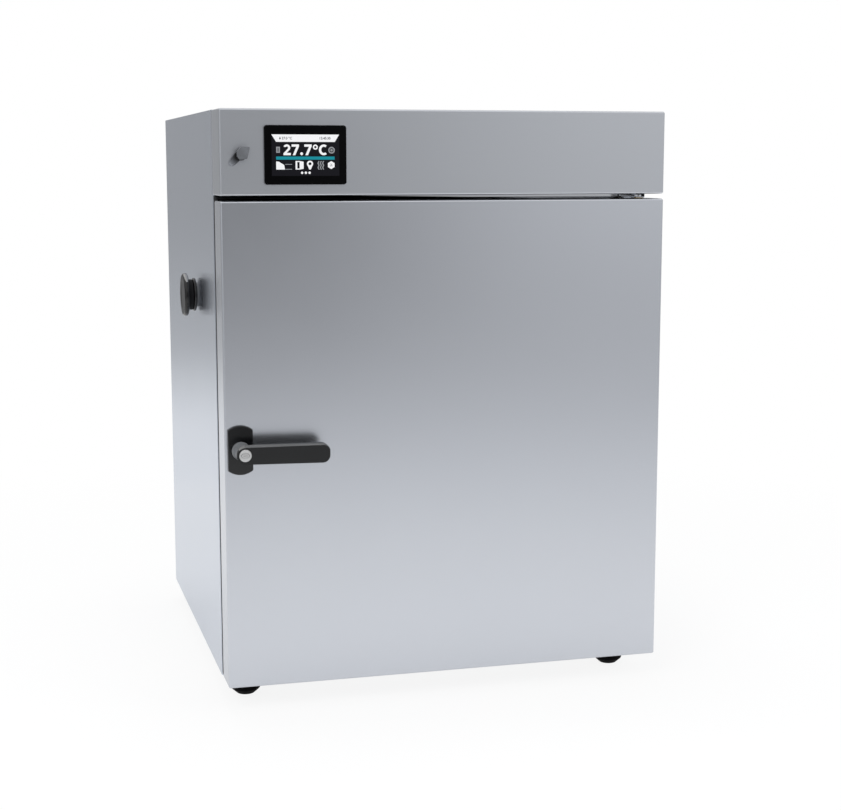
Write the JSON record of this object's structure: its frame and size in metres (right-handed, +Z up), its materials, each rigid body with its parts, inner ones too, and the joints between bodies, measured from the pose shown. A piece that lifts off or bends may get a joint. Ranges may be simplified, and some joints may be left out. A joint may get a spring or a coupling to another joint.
{
  "type": "laboratory incubator",
  "caption": "Bench laboratory incubator in satin stainless steel with a hinged insulated door, lever handle with lock, glass display, side access port, shelves, fan and heater.",
  "frame": {"origin": "on the floor under the middle of the overall box, plug, handle and wall stops included", "axes": "+Z up, -Y towards the user who faces the door, +X to that user's right"},
  "size_m": [0.6746, 0.7122, 0.85],
  "materials": {
    "stainless": "satin",
    "bright_steel": "bright",
    "galvanised_steel": "matte",
    "black_plastic": "satin",
    "grey_plastic": "satin",
    "black_rubber": "satin",
    "seal_rubber": "matte",
    "black_glass": "gloss",
    "mineral_wool": "matte",
    "aluminium": "satin",
    "brass": "satin",
    "lamp_lens": "gloss"
  },
  "bodies": {
    "cabinet": {"side_panel_left": "stainless", "side_panel_right": "stainless", "top_cover": "stainless", "base_pan": "galvanised_steel", "back_panel": "galvanised_steel", "front_frame": "stainless", "fascia": "stainless", "foot_front_left": "black_rubber", "foot_front_right": "black_rubber", "foot_rear_left": "black_rubber", "foot_rear_right": "black_rubber", "insulation_left": "mineral_wool", "insulation_right": "mineral_wool", "insulation_top": "mineral_wool", "insulation_bottom": "mineral_wool", "insulation_back": "mineral_wool", "chamber_liner": "bright_steel", "shelf_rack_left": "bright_steel", "shelf_rack_right": "bright_steel", "shelf_lower": "bright_steel", "shelf_upper": "bright_steel", "air_baffle": "bright_steel", "temperature_probe": "bright_steel", "chamber_lamp": "lamp_lens", "fan_motor": "grey_plastic", "heater_ring": "bright_steel", "cold_fins": "aluminium", "hot_fins": "aluminium", "exhaust_fan_frame": "black_plastic", "power_supply": "aluminium", "controller": "grey_plastic", "display_glass": "black_glass", "display_module": "grey_plastic", "mains_inlet": "black_plastic", "switch_body": "black_plastic", "wall_stop_left": "black_rubber", "wall_stop_right": "black_rubber", "vent_box": "galvanised_steel", "vent_pipe": "bright_steel", "port_sleeve": "black_plastic", "hinge_plate_upper": "bright_steel", "hinge_plate_lower": "bright_steel", "latch_keeper": "bright_steel"},
    "door": {"door_skin": "stainless", "door_insulation": "mineral_wool", "door_inner_panel": "bright_steel", "door_seal": "seal_rubber", "handle_plate": "black_plastic", "hinge_bush_upper": "brass", "hinge_bush_lower": "brass"},
    "handle": {"handle_lever": "black_plastic", "latch_cam": "bright_steel"},
    "lock": {"lock_barrel": "bright_steel"},
    "vent": {"vent_lever": "grey_plastic", "vent_rod": "bright_steel", "vent_shutter": "bright_steel"},
    "fan": {"fan_wheel": "black_plastic"},
    "exhaust_fan": {"exhaust_rotor": "black_plastic"},
    "plug": {"port_plug": "black_rubber"},
    "rocker": {"switch_rocker": "black_plastic"}
  },
  "joints": [
    {"name": "door_swing", "type": "hinge", "parent": "cabinet", "child": "door", "pos_m": [0.3083, -0.2787, 0.381], "axis": [0, 0, 1], "range_deg": [0, 110]},
    {"name": "handle_turn", "type": "hinge", "parent": "door", "child": "handle", "pos_m": [-0.2911, -0.3087, 0.381], "axis": [0, -1, 0], "range_deg": [0, 90]},
    {"name": "lock_turn", "type": "hinge", "parent": "handle", "child": "lock", "pos_m": [-0.2911, -0.3553, 0.381], "axis": [0, -1, 0], "range_deg": [0, 90]},
    {"name": "vent_turn", "type": "hinge", "parent": "cabinet", "child": "vent", "pos_m": [-0.2832, -0.3087, 0.7865], "axis": [0, -1, 0], "range_deg": [0, 90]},
    {"name": "fan_spin", "type": "hinge", "parent": "cabinet", "child": "fan", "pos_m": [0.0123, 0.226, 0.381], "axis": [0, 1, 0], "continuous": true},
    {"name": "exhaust_spin", "type": "hinge", "parent": "cabinet", "child": "exhaust_fan", "pos_m": [0.0123, 0.3423, 0.556], "axis": [0, 1, 0], "continuous": true},
    {"name": "plug_pull", "type": "slide", "parent": "cabinet", "child": "plug", "axis": [-1, 0, 0], "range_m": [0, 0.075]},
    {"name": "rocker_tilt", "type": "hinge", "parent": "cabinet", "child": "rocker", "pos_m": [0.1523, 0.3461, 0.787], "axis": [-1, 0, 0], "range_deg": [0, 20]}
  ]
}
